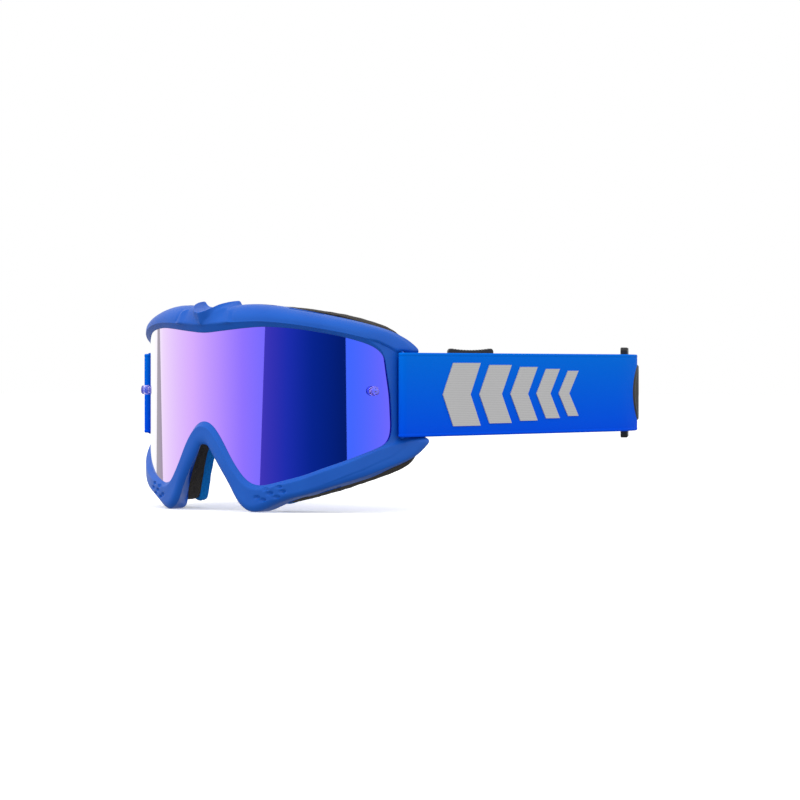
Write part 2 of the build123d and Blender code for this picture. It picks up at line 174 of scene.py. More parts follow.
class Nodes:
    """A material and short ways to add nodes to it."""

    def __init__(self, name):
        self.material = bpy.data.materials.new(name)
        self.material.use_nodes = True
        self.tree = self.material.node_tree
        self.shader = self.tree.nodes["Principled BSDF"]
        self.object_place = self.add("ShaderNodeTexCoord").outputs["Object"]

    def add(self, kind, **settings):
        node = self.tree.nodes.new(kind)
        for key, value in settings.items():
            setattr(node, key, value)
        return node

    def put(self, socket, value):
        if isinstance(value, bpy.types.NodeSocket):
            self.tree.links.new(value, socket)
        else:
            socket.default_value = value

    def math(self, operation, a, b=0.0):
        node = self.add("ShaderNodeMath", operation=operation)
        self.put(node.inputs[0], a)
        self.put(node.inputs[1], b)
        return node.outputs[0]

    def noise(self, scale, detail=3.0, where=None):
        node = self.add("ShaderNodeTexNoise")
        self.put(node.inputs["Vector"], where or self.object_place)
        node.inputs["Scale"].default_value = scale
        node.inputs["Detail"].default_value = detail
        return node.outputs["Fac"]

    def cells(self, scale, feature="F1"):
        node = self.add("ShaderNodeTexVoronoi", feature=feature)
        self.put(node.inputs["Vector"], self.object_place)
        node.inputs["Scale"].default_value = scale
        return node.outputs["Distance"]

    def axis(self, name):
        node = self.add("ShaderNodeSeparateXYZ")
        self.put(node.inputs[0], self.object_place)
        return node.outputs[name]

    def ramp(self, factor, stops):
        node = self.add("ShaderNodeValToRGB")
        self.put(node.inputs[0], factor)
        elements = node.color_ramp.elements
        while len(elements) < len(stops):
            elements.new(0.5)
        for element, (position, shade) in zip(elements, stops):
            element.position = position
            element.color = shade
        return node.outputs["Color"]

    def scaled(self, value, low, high):
        """A value from 0 to 1 as one from low to high."""
        node = self.add("ShaderNodeMapRange")
        self.put(node.inputs["Value"], value)
        node.inputs["To Min"].default_value = low
        node.inputs["To Max"].default_value = high
        return node.outputs["Result"]

    def wave(self, value, pitch_mm):
        """A sine of a length in metres, from -1 to 1, one turn each pitch."""
        return self.math("SINE", self.math("MULTIPLY", value, 2 * pi / (pitch_mm * 0.001)))

    def set(self, name, value):
        self.put(self.shader.inputs[name], value)

    def bump(self, height, depth_mm, strength=1.0):
        node = self.add("ShaderNodeBump")
        node.inputs["Strength"].default_value = strength
        node.inputs["Distance"].default_value = depth_mm * 0.001
        self.put(node.inputs["Height"], height)
        self.set("Normal", node.outputs[0])


def satin_blue_plastic():
    m = Nodes("frame_satin_blue")
    shade = m.ramp(m.noise(60, 4), [(0.3, colour(12, 86, 186)), (0.7, colour(17, 92, 193))])
    m.set("Base Color", shade)
    m.set("Roughness", m.scaled(m.noise(900, 2), 0.36, 0.5))
    m.set("Specular IOR Level", 0.28)
    m.bump(m.noise(2600, 2), 0.02, 0.35)
    return m.material


MIRROR_TINTS = [
    (0.0, (0.045, 0.135, 1)), (0.047, (0.15, 0.138, 1)), (0.13, (0.28, 0.17, 1)),
    (0.22, (0.456, 0.266, 1)), (0.36, (0.67, 0.41, 1)), (0.634, (0.85, 0.65, 0.98)), (0.8, (1, 1, 1)),
]


def mirror_coat():
    """A metal film whose tint slides from blue to violet, rose and white as it is seen askew."""
    m = Nodes("lens_mirror_coat")
    facing = m.add("ShaderNodeLayerWeight")
    facing.inputs["Blend"].default_value = 0.5
    m.set("Base Color", m.ramp(facing.outputs["Facing"], [(p, (*c, 1)) for p, c in MIRROR_TINTS]))
    m.set("Metallic", 1.0)
    m.set("Roughness", m.scaled(m.noise(30, 2), 0.015, 0.03))
    m.bump(m.noise(18, 1), 0.004, 0.2)
    return m.material


def woven_strap():
    """Elastic webbing: ribs across and cords along, with painted shade in the weave's hollows, bright at
    the top and deeper below.
    """
    m = Nodes("strap_elastic_blue")
    height = m.axis("Z")
    low, high = LEVEL_M - HALF_STRAP * 0.001, LEVEL_M + HALF_STRAP * 0.001
    drop = m.add("ShaderNodeMapRange")
    m.put(drop.inputs["Value"], height)
    drop.inputs["From Min"].default_value = low
    drop.inputs["From Max"].default_value = high
    across = m.wave(height, 0.9)
    along = m.wave(m.math("ADD", m.axis("Y"), m.math("MULTIPLY", m.axis("X"), 0.35)), 1.1)
    weave = m.math("MULTIPLY", across, along)
    base = m.ramp(drop.outputs["Result"], [(0.0, colour(0, 85, 246)), (1.0, colour(0, 118, 238))])
    mix = m.add("ShaderNodeMix", data_type="RGBA", blend_type="MULTIPLY")
    mix.inputs["Factor"].default_value = 1.0
    m.put(mix.inputs[6], base)
    # painted shade: the base colour is darkened where the weave sits low, in its hollows
    hollow_shade = m.ramp(m.scaled(weave, 0, 1), [(0.0, (0.8, 0.82, 0.86, 1)), (1.0, (1, 1, 1, 1))])
    m.put(mix.inputs[7], hollow_shade)
    m.set("Base Color", mix.outputs[2])
    m.set("Roughness", 0.82)
    m.set("Specular IOR Level", 0.03)
    m.bump(m.math("ADD", weave, m.noise(1500, 2)), 0.08, 0.5)
    return m.material


def open_foam(name, dark, light, pore_scale, depth_mm, sheen):
    """Foam or short fleece, with painted shade darkening its pores."""
    m = Nodes(name)
    pores = m.cells(pore_scale)
    # painted shade: the colour darkens into the pits of the pores, which the bump sinks
    m.set("Base Color", m.ramp(pores, [(0.1, dark), (0.55, light)]))
    m.set("Roughness", 0.95)
    m.set("Specular IOR Level", 0.05)
    m.set("Sheen Weight", sheen)
    m.set("Sheen Roughness", 0.6)
    m.bump(m.math("ADD", pores, m.noise(pore_scale * 1.7, 3)), depth_mm, 0.9)
    return m.material


def moulded_black(name, roughness, shade):
    m = Nodes(name)
    lighter = (*[v * 1.5 for v in shade[:3]], 1)
    m.set("Base Color", m.ramp(m.noise(300, 4), [(0.3, shade), (0.7, lighter)]))
    m.set("Roughness", m.scaled(m.noise(700, 2), roughness - 0.06, roughness + 0.06))
    m.bump(m.noise(2200, 2), 0.03, 0.4)
    return m.material


def ribbed_rubber():
    m = Nodes("patch_rubber")
    stops = [(0.3, (0.012, 0.012, 0.013, 1)), (0.7, (0.022, 0.022, 0.023, 1))]
    m.set("Base Color", m.ramp(m.noise(500, 3), stops))
    m.set("Roughness", m.scaled(m.noise(900, 2), 0.5, 0.64))
    m.bump(m.noise(2500, 2), 0.02, 0.4)
    return m.material


def printed_mesh():
    """A raised rubber print with the strap's weave pressed through it, with painted shade in the
    pressed-in hollows.
    """
    m = Nodes("strap_print_grey")
    across = m.wave(m.axis("Z"), 0.9)
    along = m.wave(m.axis("Y"), 0.9)
    grid = m.math("MAXIMUM", across, along)
    # painted shade: the grey darkens where the pressed weave sits low
    stops = [(0.35, colour(176, 176, 177)), (0.75, colour(196, 196, 197))]
    m.set("Base Color", m.ramp(m.scaled(grid, 0, 1), stops))
    m.set("Roughness", 0.72)
    m.bump(grid, 0.05, 0.5)
    return m.material


def clear_post():
    """Clear lilac plastic, in which the lens behind shows."""
    m = Nodes("post_lilac")
    m.set("Base Color", m.ramp(m.noise(200, 2), [(0.3, (0.62, 0.55, 1, 1)), (0.7, (0.72, 0.66, 1, 1))]))
    m.set("Roughness", m.scaled(m.noise(400, 2), 0.04, 0.1))
    m.set("Transmission Weight", 0.85)
    m.set("IOR", 1.46)
    m.bump(m.noise(700, 1), 0.01, 0.2)
    return m.material


FRAME_BLUE = satin_blue_plastic()
MIRROR = mirror_coat()
STRAP_BLUE = woven_strap()
FOAM_BLACK = open_foam(
    "foam_black", (0.007, 0.0065, 0.006, 1), (0.036, 0.031, 0.026, 1), 1400, 0.22, 0.1
)
FOAM_BLUE = open_foam("foam_fleece_blue", colour(0, 88, 166), colour(2, 120, 206), 2100, 0.12, 0.04)
VENT_FOAM = open_foam(
    "foam_vent", (0.008, 0.008, 0.008, 1), (0.035, 0.035, 0.035, 1), 700, 0.4, 0.1
)
ADJUSTER_BLACK = moulded_black("adjuster_black", 0.42, (0.012, 0.012, 0.013, 1))
PATCH_RUBBER = ribbed_rubber()
PRINT_GREY = printed_mesh()
POST_CLEAR = clear_post()


# ---- Frame: a soft moulded ring round the lens ----
# Each station: the lens's edge x, z; the frame's outer edge x, z; the width of the bevel beside the
# lens; and how wide and how deep the outer corner is rounded.
RING_STATIONS = [
    (0, 31.0, 0, 45.2, 4.0, 9.5, 11), (11.8, 31.9, 12.5, 45.2, 3.8, 9, 11),
    (24.1, 33.1, 25.5, 45.4, 3.3, 8.5, 11), (34.6, 33.8, 37.0, 44.3, 2.8, 7.3, 11),
    (45, 33.3, 48.5, 42.1, 2.5, 6.0, 10.5), (53.3, 32.2, 57.5, 40.0, 2.4, 5.3, 10),
    (62, 30.4, 67.5, 37.3, 2.5, 4.8, 9), (68.8, 28.5, 75, 34.6, 2.8, 4.6, 8),
    (75.9, 25.3, 81.5, 31.4, 3.4, 4.5, 6), (79.2, 22.3, 86.9, 26.3, 3.6, 4, 4),
    (81.0, 18.0, 89.7, 20.5, 2.0, 3, 2.5), (81.9, 10.4, 90, 11, 1.6, 3, 2.5),
    (82.7, 0, 90, 0, 1.6, 3, 2.5), (83.0, -9, 90.5, -10, 1.6, 3, 2.5),
    (83.1, -17.9, 91.9, -20.6, 1.6, 2.5, 2), (81.8, -23.4, 90.8, -26.4, 1.8, 2.5, 2),
    (78.4, -26.8, 87.0, -32.6, 2.0, 3.0, 2.5), (69.5, -32.2, 76, -40.2, 2.0, 2.6, 3),
    (61, -36.2, 65, -45.2, 2.0, 2.4, 3), (53.3, -39.7, 55.8, -49.0, 2.0, 2.4, 3.5),
    (44, -42.6, 46.5, -51.9, 2.0, 2.6, 4), (36.5, -44.6, 38.2, -55.4, 2.0, 3.2, 4),
    (32.6, -45.0, 33.2, -57.9, 2.0, 3.8, 3.5), (28.4, -43.9, 27.8, -58.3, 2.0, 4.6, 3),
    (24.1, -40.5, 22.0, -54.4, 2.0, 5.6, 3.4), (18.4, -33.1, 16.0, -44.7, 2.0, 6.2, 3.2),
    (11.8, -22.6, 9.3, -35.0, 2.0, 6.6, 3.0), (7, -16.5, 4.8, -28.7, 2.2, 6.6, 2.8),
    (3.5, -14, 2.8, -25.4, 2.4, 6.0, 2.2), (0, -13.2, 0, -24.9, 2.4, 6.0, 2.2),
]
# How far out and up the nose channel has opened at the back of the frame, by the front's height.
NOSE_FLARE = [
    (-58.5, 0.0, 0.0), (-54.4, 6.4, 0.9), (-44.7, 10.2, 1.4), (-34.8, 12.9, 5.3), (-28.4, 12.3, 5.9),
    (-25.4, 6.5, 4.7), (-24.9, 0.0, 4.7),
]
NOSE_HALF_WIDTH = 30
NOSE_TOP = -24
# Brow sections: x, then y and z of the crest of the bevel, the foot of the beak, its lip, the front
# and the middle of the hollow behind the lip, and the back edge.
BROW_SECTIONS = [
    (0, [(-2.6, 34.9), (-3.3, 35.6), (-4.9, 41.1), (-3.9, 41.6), (4, 42.4), (12.1, 44.0)]),
    (3.5, [(-2.5, 35.2), (-2.6, 37.9), (-4.1, 41.8), (-3.0, 42.0), (4.5, 42.6), (12.2, 44.1)]),
    (6.5, [(-2.4, 35.5), (-1.6, 40.2), (-1.3, 43.7), (-0.2, 43.6), (6, 43.2), (12.3, 44.4)]),
    (8.7, [(-2.3, 35.7), (-0.3, 42.1), (2.0, 45.5), (3.2, 45.3), (8, 44.2), (12.4, 44.8)]),
    (10.6, [(-2.2, 35.8), (1.0, 43.2), (6.4, 46.6), (7.6, 46.4), (10.5, 45.6), (12.6, 46.0)]),
    (11.9, [(-2.2, 35.8), (2.0, 43.7), (11.8, 47.3), (12.2, 47.4), (12.5, 47.4), (12.8, 47.3)]),
    (13.2, [(-2.1, 35.9), (2.5, 43.6), (11.8, 46.8), (12.2, 46.9), (12.5, 46.9), (12.9, 46.7)]),
    (13.9, [(-2.0, 36.0), (2.3, 43.3), (8.5, 44.9), (10.5, 45.1), (12, 45.1), (13.0, 44.8)]),
    (16.5, [(-1.9, 36.1), (1.0, 42.2), (5.0, 44.3), (7.5, 44.8), (10, 45.1), (13.1, 45.0)]),
]
BROW_COUNTS = (12, 10, 6, 10, 12)  # points from each corner of a brow section to the next
BROW_FADE = (16.0, 21.0)  # the x where the drawn sections start to give way, and where they end
TOP_START, TOP_COUNT = 10, 51  # which of a ring section's points a brow section draws
DIMPLES = [
    (37.3, -46.7), (43.7, -45.5), (33.2, -50.9), (39.6, -48.8), (45.5, -47.8), (36.2, -52.1),
    (42.7, -50.6),
]
RING_STEP = 0.5


def brow_table():
    """For each point along the brow's section, its y and z at each of the sections' x."""
    rows = []
    for x, corners in BROW_SECTIONS:
        points = []
        for (a, b), count in zip(zip(corners, corners[1:]), BROW_COUNTS):
            for t in np.linspace(0, 1, count, endpoint=False):
                points.append((a[0] + (b[0] - a[0]) * t, a[1] + (b[1] - a[1]) * t))
        points.append(corners[-1])
        rows.append(points)
    return np.array([x for x, _ in BROW_SECTIONS], float), np.array(rows)


def frame_section(edge, outer, bevel, round_wide, round_deep):
    """One section of the ring, as rows of x, y, z, from behind the lens round to behind it again."""
    outwards = outer - edge
    width = hypot(*outwards)
    outwards = outwards / width
    flare = np.zeros(2)
    if abs(outer[0]) < NOSE_HALF_WIDTH and outer[1] <= NOSE_TOP:
        heights, out, up = np.array(NOSE_FLARE).T
        flare += (np.sign(outer[0]) * np.interp(outer[1], heights, out), np.interp(outer[1], heights, up))

    def at(reach, depth, surface):
        """A point that far out from the lens's edge and that deep behind a surface."""
        x, z = edge + outwards * reach
        return [x, surface(x) + depth, z]

    def lens_face(x):
        return front_arc(LENS_RADIUS, x)

    def lens_back(x):
        return front_arc(LENS_RADIUS - LENS_THICKNESS, x)

    def face(x):
        return front_arc(FACE_RADIUS, x)

    points = [at(0.6, 0.5, lens_face), at(0.0, 0.35, lens_face), at(0.0, -0.1, lens_face)]
    start, crest = np.array(at(0.0, -0.15, lens_face)), np.array(at(bevel, 0.15, face))
    points += [list(start + (crest - start) * t) for t in np.linspace(0.1, 1, 7, endpoint=False)]
    flat_end = max(width - round_wide, bevel + 0.3)
    round_wide = width - flat_end
    flat = np.linspace(bevel, flat_end, 12, endpoint=False)
    top = [at(u, 0.12 * (u - bevel) / (flat_end - bevel), face) for u in flat]
    for turn in np.linspace(0, pi / 2, 20, endpoint=False):
        top.append(at(flat_end + round_wide * sin(turn), 0.12 + round_deep * (1 - cos(turn)), face))
    rim = np.array(at(width, round_deep, face))
    x, z = outer + flare
    back = np.array([x, float(back_arc(x)), z])
    if back[1] < rim[1] + 1:
        rim[1] = back[1] - 1
    inner_x, inner_z = edge - outwards * 1.8
    inner = np.array([inner_x, float(back_arc(inner_x)), inner_z])
    fillet = 0.8 + 2.4 * float(smooth_step(-outer[1], 42, 52))
    into_wall = back + (rim - back) * min(fillet / np.linalg.norm(rim - back), 0.9)
    into_back = back + (inner - back) * min(fillet / np.linalg.norm(inner - back), 0.9)
    top += [list(rim + (into_wall - rim) * t) for t in np.linspace(0, 1, 13, endpoint=False)]
    for t in np.linspace(0, 1, 6):
        top.append(list((1 - t) ** 2 * into_wall + 2 * t * (1 - t) * back + t**2 * into_back))
    points += top
    points += [list(into_back + (inner - into_back) * t) for t in np.linspace(0, 1, 8)[1:]]
    lip = np.array([inner_x, float(lens_back(inner_x)) + 0.15, inner_z])
    points += [list(inner + (lip - inner) * t) for t in np.linspace(0, 1, 5)[1:]]
    points += [at(0.4, 0.1, lens_back)]
    return points


def shape_brow(section, table_x, table):
    """Draws the beak and its two horns into a section near the middle of the brow."""
    for k in range(TOP_COUNT):
        x, y, z = section[TOP_START + k]
        fade = 1 - smooth_step(abs(x), *BROW_FADE)
        if fade > 0 and z > 30:
            drawn_y = np.interp(abs(x), table_x, table[:, k, 0])
            drawn_z = np.interp(abs(x), table_x, table[:, k, 1])
            section[TOP_START + k] = [x, y + (drawn_y - y) * fade, z + (drawn_z - z) * fade]


def cut_recess(points):
    """Sinks the frame beside each strap, between its arms, to a low rim and a flat side wall."""
    x, y, z = np.abs(points[:, 0]), points[:, 1], points[:, 2]
    upper = np.interp(x, [76, 81, 84.2, 86.4, 95], [29.4, 27.2, 24.3, 21.5, 21.4])
    lower = np.interp(x, [78, 82.3, 85.3, 88.3, 95], [-28.2, -26.7, -24.6, -22.2, -21.6])
    soft = np.interp(x, [80, 87], [1.6, 1.0])
    inside = smooth_step((upper - z) / soft, 0.0, 1.0) * smooth_step((z - lower) / soft, 0.0, 1.0)
    inside *= smooth_step(x, 76.5, 80.5)
    axis_y = y - LENS_RADIUS
    radius = np.hypot(x, axis_y)
    turned = np.degrees(np.arctan2(x, -axis_y))
    low = LENS_RADIUS + RIM_PROUD - 2.6 * smooth_step(turned, 61.9, 64.3)
    factor = np.where((radius > low) & (y < 60), low / radius, 1.0)
    sunk_x, sunk_y = x * factor, axis_y * factor + LENS_RADIUS
    sunk_x = np.minimum(sunk_x, RECESS_X)
    new_x = x + (sunk_x - x) * inside
    new_y = y + (sunk_y - y) * inside
    points[:, 0] = np.sign(points[:, 0]) * new_x
    points[:, 1] = new_y


def soften_arm_ends(grid):
    """Rounds the ends of the arms, above and below each strap."""
    for _ in range(10):
        x, z = np.abs(grid[..., 0]), np.abs(grid[..., 2])
        amount = 0.6 * smooth_step(x, 84, 86.5) * (1 - smooth_step(np.abs(z - 22.5), 2.5, 5.5))
        nearby = sum(np.roll(grid, shift, axis=axis) for shift in (1, -1) for axis in (0, 1)) / 4
        grid += (nearby - grid) * amount[..., None]


def press_lower_band(points):
    """Sets the lower half of each lower arm's front a little further back, along one crease."""
    x, y, z = np.abs(points[:, 0]), points[:, 1], points[:, 2]
    crease = np.interp(
        x, [60, 66.5, 76.4, 84.7, 87.2, 88.9], [-45.4, -42.1, -36.6, -30.1, -26.6, -22.3]
    )
    front = 1 - smooth_step(y - front_arc(FACE_RADIUS, x), 3.0, 4.5)
    points[:, 1] = y + 0.55 * smooth_step(crease - z, 0.0, 0.7) * smooth_step(x, 60, 70) * front


def step_lower_arm(points):
    """Sets the frame in behind the outer band of each lower arm."""
    x, y, z = np.abs(points[:, 0]), points[:, 1], points[:, 2]
    depth = y - front_arc(FACE_RADIUS, x)
    amount = smooth_step(depth, 4.6, 5.6) * smooth_step(x, 74, 82) * smooth_step(-z, 23.5, 28)
    points[:, 2] = z + 0.6 * amount
    points[:, 0] = np.sign(points[:, 0]) * (x - 0.3 * amount)


def press_dimples(points):
    """Presses seven small ovals into each lobe beside the nose."""
    x, z = np.abs(points[:, 0]), points[:, 2]
    front = points[:, 1] - front_arc(FACE_RADIUS, x) < 2.5
    for centre_x, centre_z in DIMPLES:
        across, up = (x - centre_x) / 1.75, (z - centre_z) / 0.95
        near = np.hypot(across, up)
        sink = 0.75 * (1 - smooth_step(near, 0.55, 1.15)) * (1.2 - 0.4 * np.clip(up, -1, 1)) * front
        points[:, 1] += sink


def build_frame():
    ring = closed_curve(RING_STATIONS, RING_STEP, 1.6)
    table_x, table = brow_table()
    sections = []
    for px, pz, qx, qz, bevel, wide, deep in ring:
        section = frame_section(np.array([px, pz]), np.array([qx, qz]), bevel, wide, deep)
        if pz > 25 and abs(px) < 25:
            shape_brow(section, table_x, table)
        sections.append(section)
    sections = np.array(sections)
    count = sections.shape[1]
    soft = sections.copy()
    for k in range(1, count - 1):
        soft[:, k] = 0.25 * sections[:, k - 1] + 0.5 * sections[:, k] + 0.25 * sections[:, k + 1]
    soft = smoothed(soft, 0.35 / RING_STEP)
    points = soft.reshape(-1, 3)
    cut_recess(points)
    soften_arm_ends(points.reshape(soft.shape))
    press_lower_band(points)
    step_lower_arm(points)
    press_dimples(points)
    faces = grid_faces(len(soft), count, close_rows=True, close_columns=True)
    piece = new_object("frame_moulding", place(points), faces, FRAME_BLUE)
    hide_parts("frame")
    return piece


# ---- Vents: slots through the top and bottom walls, each with a strip of foam inside ----
VENTS = {"top": [(27.0, 18.0), (50.0, 18.0)], "bottom": [(46.0, 11.0), (60.0, 11.0)]}  # x, length
VENT_WIDTH = 2.6
VENT_FROM_BACK = 3.0
VENT_HEIGHTS = {"top": (26.0, 52.0), "bottom": (-62.0, -30.0)}
# Each strip's low and high, and how much it falls for each millimetre outwards from the first vent.
VENT_FOAM_LEVELS = {"top": (36.5, 40.5, 0.25), "bottom": (-47.0, -43.5, -0.35)}


def vent_block(middle_x, length, width, low, high, soft=False):
    """Points and faces of an upright block with round ends, along the frame's bend; soft rounds it."""
    middle_y = float(back_arc(middle_x)) - VENT_FROM_BACK
    slope = atan2(middle_x, LENS_RADIUS - middle_y)
    along, across = np.array([cos(slope), sin(slope)]), np.array([-sin(slope), cos(slope)])
    centre = np.array([middle_x, middle_y])
    outline = []
    for end in (1, -1):
        for turn in np.linspace(-pi / 2, pi / 2, 12):
            reach = end * (length / 2 - width / 2 + width / 2 * cos(turn))
            outline.append(centre + along * reach + across * end * width / 2 * sin(turn))
    levels = [(low, 1.0), (high, 1.0)]
    if soft:
        levels = [(low, 0.8), (low + 0.4, 1.0), (high - 0.4, 1.0), (high, 0.8)]
    points = []
    for z, share in levels:
        points += [(*(centre + (p - centre) * share), z) for p in outline]
    count = len(outline)
    faces = grid_faces(len(levels), count, close_columns=True)
    faces += [tuple(reversed(range(count))), tuple(range(len(points) - count, len(points)))]
    return points, faces


def join_blocks(blocks):
    """Several blocks' points and faces as one list of each."""
    points, faces = [], []
    for block_points, block_faces in blocks:
        faces += [tuple(k + len(points) for k in face) for face in block_faces]
        points += block_points
    return points, faces


def cut_vents(piece):
    """Cuts the vents through a frame with a throwaway cutter."""
    blocks = []
    for wall, places in VENTS.items():
        for middle_x, length in places:
            for side in (1, -1):
                blocks.append(vent_block(side * middle_x, length, VENT_WIDTH, *VENT_HEIGHTS[wall]))
    points, faces = join_blocks(blocks)
    cutter = new_object("vent_cutter", place(points), faces, FRAME_BLUE, None)
    cut = piece.modifiers.new("vents", "BOOLEAN")
    cut.operation = "DIFFERENCE"
    cut.solver = "EXACT"
    cut.object = cutter
    cut_piece = piece.evaluated_get(bpy.context.evaluated_depsgraph_get())
    shape = bpy.data.meshes.new_from_object(cut_piece)
    piece.modifiers.clear()
    piece.data = shape
    shape.set_sharp_from_angle(angle=radians(42))
    bpy.data.objects.remove(cutter)


def build_vent_foam(wall):
    low, high, slope = VENT_FOAM_LEVELS[wall]
    blocks = []
    for middle_x, length in VENTS[wall]:
        fall = slope * (middle_x - VENTS[wall][0][0])
        size = (length + 0.6, VENT_WIDTH + 0.5, low - fall, high - fall)
        blocks += [vent_block(side * middle_x, *size, soft=True) for side in (1, -1)]
    points, faces = join_blocks(blocks)
    piece = new_object(f"vent_foam_{wall}_strips", place(points), faces, VENT_FOAM)
    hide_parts(f"vent_foam_{wall}")


frame_moulding = build_frame()
cut_vents(frame_moulding)
build_vent_foam("top")
build_vent_foam("bottom")


# ---- Lens: a smooth cylinder, so that its reflections stay clean ----
LENS_REACH = 83.3
LENS_EDGE_X = 82.6
IN_GROOVE = 1.9
WIDEST_STATION = 12


def build_lens():
    edge = np.array([station[:2] for station in RING_STATIONS], float)
    top, bottom = edge[:WIDEST_STATION + 1], edge[WIDEST_STATION:][::-1]
    turns = np.linspace(-1, 1, 221) * np.arcsin(LENS_REACH / LENS_RADIUS)
    steps = 25
    points = []
    for turn in turns:
        near = min(abs(LENS_RADIUS * sin(turn)), LENS_EDGE_X)
        z_top = np.interp(near, top[:, 0], top[:, 1]) + IN_GROOVE
        z_bottom = np.interp(near, bottom[:, 0], bottom[:, 1]) - IN_GROOVE
        front, back = (LENS_RADIUS, z_bottom, z_top), (LENS_RADIUS - LENS_THICKNESS, z_top, z_bottom)
        for radius, start, end in (front, back):
            for z in np.linspace(start, end, steps):
                points.append((radius * sin(turn), LENS_RADIUS - radius * cos(turn), z))
    faces = grid_faces(len(turns), 2 * steps, close_columns=True)
    piece = new_object("lens_shell", place(points), faces, MIRROR)
    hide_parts("lens")


build_lens()


# ---- Face foam: two soft rings ----
FOAM_STATIONS = [  # outer x, z of the base layer; outer x, z of the face layer; opening x, z
    (0, 42.8, 0, 42.2, 0, 32), (15, 44.0, 15, 43.2, 15, 32.4), (38.5, 43.6, 38.5, 42.2, 34, 33),
    (59, 40.2, 58, 38.6, 56, 29.8), (69.5, 36.8, 67.5, 34.8, 64, 26.5),
    (76.5, 33.0, 74, 31.2, 69.5, 22.5), (80.6, 27.5, 78.5, 25.5, 71.8, 17), (83.0, 18, 81, 17, 72, 8),
    (83.6, 0, 81.4, 0, 72, 0), (84.4, -20, 82, -19, 72, -12), (84.5, -30, 81.8, -28.5, 70.5, -22),
    (80, -37.2, 77, -35.8, 65, -29.5), (64, -45.4, 62, -44, 54, -36.5),
    (50, -50.4, 49, -48.8, 45, -40.5), (39, -53.4, 39, -51.9, 39, -42.4),
    (32.5, -54, 31.8, -54.9, 35.4, -41.0),
    (29.2, -52.4, 29.4, -54.4, 32.8, -38), (27.0, -46, 27.6, -46.4, 28.6, -29),
    (24.8, -38.6, 25.4, -38.9, 23.4, -20.5), (20.2, -27.4, 20.8, -27.8, 17.4, -13.6),
    (11.2, -21.6, 11.6, -22.2, 10, -10.6), (0, -20.6, 0, -21.3, 0, -10),
]


def foam_ring(name, node, columns, front_depth, back_depth, material, corner, ripple):
    """A ring of foam between two arcs, with rounded corners and a slightly uneven skin."""
    outer_columns, opening_columns = columns
    half = [(*[s[k] for k in outer_columns], *[s[k] for k in opening_columns]) for s in FOAM_STATIONS]
    ring = closed_curve(half, 0.8, 2.0)
    rng = np.random.default_rng(7)
    depth_run = back_depth - front_depth
    sections = []
    for ox, oz, ix, iz in ring:
        outer, inner = np.array([ox, oz]), np.array([ix, iz])
        across = (outer - inner) / hypot(*(outer - inner))
        points = []

        def add(plan, depth):
            points.append([plan[0], float(back_arc(plan[0], depth)), plan[1]])

        for t in np.linspace(0, 1, 9):
            add(inner + (outer - inner) * t, front_depth)
        for t in np.linspace(0.1, 0.9, 9):
            bow = 0.35 * sin(pi * t)
            add(outer + across * bow, front_depth + (depth_run - corner) * t)
        for turn in np.linspace(0, pi / 2, 6):
            add(outer - across * corner * (1 - cos(turn)), back_depth - corner * (1 - sin(turn)))
        for t in np.linspace(0.12, 0.88, 8):
            plan = outer - across * corner + (inner - outer + 2 * across * corner) * t
            add(plan, back_depth + 0.25 * sin(pi * t))
        for turn in np.linspace(pi / 2, 0, 6):
            add(inner + across * corner * (1 - cos(turn)), back_depth - corner * (1 - sin(turn)))
        for t in np.linspace(0.9, 0.1, 9):
            add(inner, front_depth + (depth_run - corner) * t)
        sections.append(points)
    sections = np.array(sections)
    unevenness = smoothed(rng.normal(size=sections.shape) * ripple, 1.2)
    sections = sections + unevenness * np.array([1, 0.4, 1])
    faces = grid_faces(len(sections), sections.shape[1], close_rows=True, close_columns=True)
    piece = new_object(name, place(sections.reshape(-1, 3)), faces, material)
    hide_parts(node)


foam_ring(
    "foam_base_pad", "foam_base", ((0, 1), (4, 5)), 0.05,
    FOAM_BASE_DEPTH, FOAM_BLACK, 0.8, 0.13,
)
foam_ring(
    "foam_face_pad", "foam_face", ((2, 3), (4, 5)), FOAM_BASE_DEPTH + 0.05,
    FOAM_BASE_DEPTH + FOAM_FACE_DEPTH, FOAM_BLUE, 2.2, 0.16,
)


# ---- Strap ----
WRAP_OUTSIDE = BAR_RADIUS + 0.1 + STRAP_THICKNESS
SPAN = hypot(BAR_X, LOOP_CENTRE - BAR_Y)
TOE_IN = np.arcsin(BAR_X / SPAN) - np.arcsin((LOOP_RADIUS - WRAP_OUTSIDE) / SPAN)
OUTWARD = np.array([cos(TOE_IN), sin(TOE_IN)])
REARWARD = np.array([-sin(TOE_IN), cos(TOE_IN)])
BAR = np.array([BAR_X, BAR_Y])
SIDE_LENGTH = float((np.array([0, LOOP_CENTRE]) - BAR) @ REARWARD)
JOIN_LENGTH = 40.0


def beside(distance, out):
    """A plan point beside the straight side of the left strap."""
    return BAR + REARWARD * distance + OUTWARD * out


def round_bend(radius, turn):
    """A plan point round the rear bend, at an angle from straight out sideways."""
    return np.array([radius * cos(turn), LOOP_CENTRE + radius * sin(turn)])


def side_path():
    """The middle of the left strap, from the end of its inner layer, round the bar, to the bend."""
    middle = WRAP_OUTSIDE - STRAP_THICKNESS / 2
    inner = middle - STRAP_THICKNESS - LAYER_GAP
    path = [beside(d, inner) for d in np.linspace(SIDE_LENGTH, JOIN_LENGTH, 40, endpoint=False)]
    for t in np.linspace(0, 1, 24, endpoint=False):
        out = inner + (-middle - inner) * float(smooth_step(t, 0, 1))
        path.append(beside(JOIN_LENGTH * (1 - t), out))
    for turn in np.linspace(0, pi, 20, endpoint=False):
        path.append(BAR - OUTWARD * middle * cos(turn) - REARWARD * middle * sin(turn))
    path += [beside(d, middle) for d in np.linspace(0, SIDE_LENGTH, 90, endpoint=False)]
    return path


